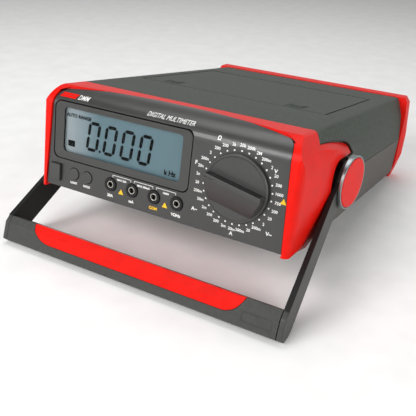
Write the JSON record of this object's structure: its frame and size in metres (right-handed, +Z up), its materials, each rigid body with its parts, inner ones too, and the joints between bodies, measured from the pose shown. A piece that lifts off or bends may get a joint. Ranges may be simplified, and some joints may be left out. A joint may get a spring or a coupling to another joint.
{
  "type": "digital multimeter",
  "caption": "Bench digital multimeter with display, rotary range selector, banana sockets and a swing-down handle that tilts it up on the bench.",
  "frame": {"origin": "middle of the footprint, on the bench that the crossbar and the rear bumper stand on", "axes": "+X to the right seen from the front, +Y to the rear, +Z up; the instrument itself is tilted 7.75 degrees with its front raised"},
  "size_m": [0.24, 0.3446, 0.1194],
  "materials": {
    "red_plastic": "satin, lightly glossy",
    "panel_plastic": "fine satin texture",
    "case_upper": "fine spark-eroded texture",
    "case_lower": "fine spark-eroded texture",
    "handle_plastic": "satin",
    "display_glass": "clear",
    "fuse_glass": "clear",
    "lcd_face": "liquid crystal glass, blue-grey",
    "black_plastic": "satin black",
    "inner_plastic": "plain moulded",
    "jack_metal": "nickel-plated brass",
    "circuit_board": "solder mask",
    "steel": "bright zinc",
    "hub_metal": "turned, satin",
    "foot_rubber": "matte"
  },
  "bodies": {
    "housing": {"front_bezel": "red_plastic", "front_panel": "panel_plastic", "display_surround": "panel_plastic", "display_lens": "display_glass", "lcd_module": "lcd_face", "display_carrier": "black_plastic", "input_jack_1": "black_plastic", "jack_sleeve_1": "jack_metal", "input_jack_2": "black_plastic", "jack_sleeve_2": "jack_metal", "input_jack_3": "black_plastic", "jack_sleeve_3": "jack_metal", "input_jack_4": "black_plastic", "jack_sleeve_4": "jack_metal", "rotary_switch": "black_plastic", "power_switch": "black_plastic", "button_switch_1": "black_plastic", "button_switch_2": "black_plastic", "front_board": "circuit_board", "upper_case": "case_upper", "lower_case": "case_lower", "lid_hinge_rod": "steel", "accessory_tray": "inner_plastic", "rear_panel": "inner_plastic", "rear_bumper": "red_plastic", "power_inlet": "black_plastic", "fuse_holder": "black_plastic", "main_board": "circuit_board", "transformer": "steel", "input_fuse": "fuse_glass", "smoothing_capacitor": "black_plastic", "front_foot_right": "foot_rubber", "front_foot_left": "foot_rubber", "rear_foot_right": "foot_rubber", "rear_foot_left": "foot_rubber", "pivot_boss_right": "black_plastic", "pivot_boss_left": "black_plastic", "hub_ring_right": "hub_metal", "hub_ring_left": "hub_metal", "hub_disc_right": "red_plastic", "hub_disc_left": "red_plastic"},
    "handle": {"handle_arm_left": "handle_plastic", "handle_arm_right": "handle_plastic", "handle_crossbar": "handle_plastic", "handle_grip": "red_plastic"},
    "selector": {"range_knob": "panel_plastic", "knob_shaft": "black_plastic"},
    "power_key": {"power_button": "panel_plastic"},
    "left_key": {"function_button_1": "panel_plastic"},
    "right_key": {"function_button_2": "panel_plastic"},
    "lid": {"compartment_lid": "case_upper"},
    "left_latch": {"lid_latch_1": "case_upper"},
    "right_latch": {"lid_latch_2": "case_upper"}
  },
  "joints": [
    {"name": "handle_swing", "type": "hinge", "parent": "housing", "child": "handle", "pos_m": [0, -0.05449, 0.07027], "axis": [1, 0, 0], "range_deg": [-190, 0]},
    {"name": "range_select", "type": "hinge", "parent": "housing", "child": "selector", "pos_m": [0.062, -0.13381, 0.08066], "axis": [0, -0.9909, 0.1349], "continuous": true},
    {"name": "power_press", "type": "slide", "parent": "housing", "child": "power_key", "axis": [0, 0.9909, -0.1349], "range_m": [0, 0.003], "stiffness_N_per_m": 900},
    {"name": "left_key_press", "type": "slide", "parent": "housing", "child": "left_key", "axis": [0, 0.9909, -0.1349], "range_m": [0, 0.0012], "stiffness_N_per_m": 900},
    {"name": "right_key_press", "type": "slide", "parent": "housing", "child": "right_key", "axis": [0, 0.9909, -0.1349], "range_m": [0, 0.0012], "stiffness_N_per_m": 900},
    {"name": "lid_open", "type": "hinge", "parent": "housing", "child": "lid", "pos_m": [0, 0.10285, 0.0873], "axis": [-1, 0, 0], "range_deg": [0, 100]},
    {"name": "left_latch_slide", "type": "slide", "parent": "lid", "child": "left_latch", "axis": [0, 0.9909, -0.1349], "range_m": [0, 0.0025], "stiffness_N_per_m": 400},
    {"name": "right_latch_slide", "type": "slide", "parent": "lid", "child": "right_latch", "axis": [0, 0.9909, -0.1349], "range_m": [0, 0.0025], "stiffness_N_per_m": 400}
  ]
}
